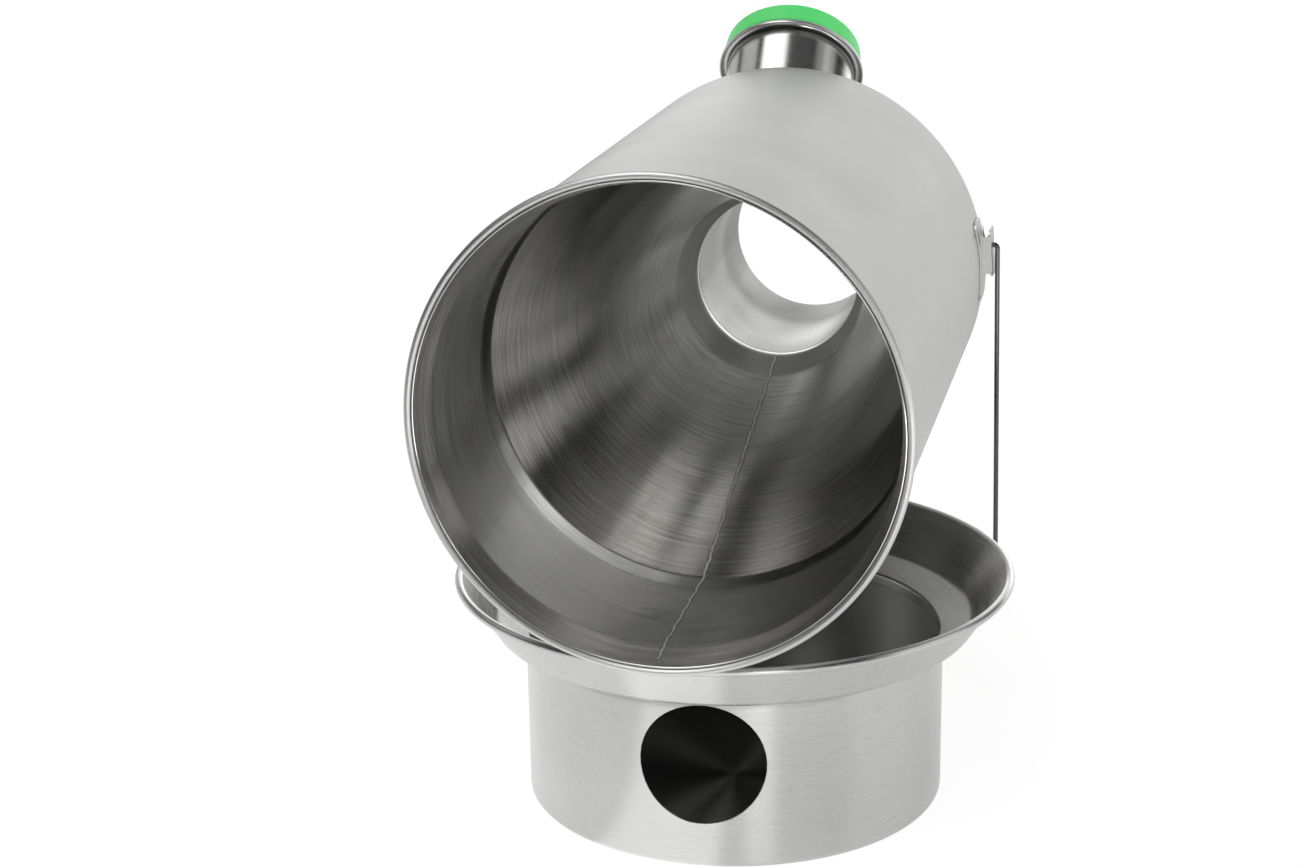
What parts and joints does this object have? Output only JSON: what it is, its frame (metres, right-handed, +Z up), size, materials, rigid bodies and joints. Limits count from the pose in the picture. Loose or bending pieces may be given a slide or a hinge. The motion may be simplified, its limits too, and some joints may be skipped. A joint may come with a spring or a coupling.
{
  "type": "storm kettle",
  "caption": "Double-walled storm kettle with a chimney, a stoppered spout and a wood-gripped bail, lying across its round fire base.",
  "frame": {"origin": "centre of the fire base's underside, on the ground", "axes": "+Z up; +Y along the lying kettle, from its open rim to its chimney; +X to the right when looking along +Y into the rim"},
  "size_m": [0.185, 0.285, 0.2425],
  "materials": {
    "base_steel": "brushed stainless sheet, horizontal grain",
    "shell_steel": "fine satin stainless sheet",
    "chamber_steel": "spun and brushed stainless sheet, darker inside",
    "spout_steel": "polished stainless tube",
    "bracket_steel": "pressed stainless sheet",
    "wire": "drawn stainless wire",
    "weld": "bare weld bead",
    "whistle_steel": "thin pressed stainless",
    "grip_wood": "turned beech, oiled",
    "silicone": "matt bright green silicone"
  },
  "bodies": {
    "fire_base": {"fire_drum": "base_steel", "fire_collar": "base_steel"},
    "kettle": {"outer_shell": "shell_steel", "shell_seam": "weld", "rim_weld": "weld", "shoulder": "shell_steel", "fire_chamber": "chamber_steel", "chamber_seam": "weld", "neck_weld": "weld", "flue_tube": "chamber_steel", "flue_weld": "weld", "spout": "spout_steel", "spout_weld": "weld", "bracket_right": "bracket_steel", "bracket_left": "bracket_steel", "spot_welds": "weld"},
    "bail": {"bail_wire": "wire"},
    "grip": {"grip": "grip_wood"},
    "stopper": {"stopper": "silicone", "whistle_capsule": "whistle_steel", "stopper_loop": "wire"}
  },
  "joints": [
    {"name": "kettle_lift", "type": "slide", "parent": "fire_base", "child": "kettle", "axis": [0, 0, 1], "range_m": [0, 0.1]},
    {"name": "bail_swing", "type": "hinge", "parent": "kettle", "child": "bail", "pos_m": [-0.00483, 0.11951, 0.15629], "axis": [0.9976, 0, 0.0698], "range_deg": [-15, 220]},
    {"name": "grip_spin", "type": "hinge", "parent": "bail", "child": "grip", "pos_m": [0.00406, 0.11951, 0.02909], "axis": [0.9976, 0, 0.0698], "continuous": true},
    {"name": "stopper_pull", "type": "slide", "parent": "kettle", "child": "stopper", "axis": [-0.0439, 0.7771, 0.6278], "range_m": [0, 0.045]}
  ]
}
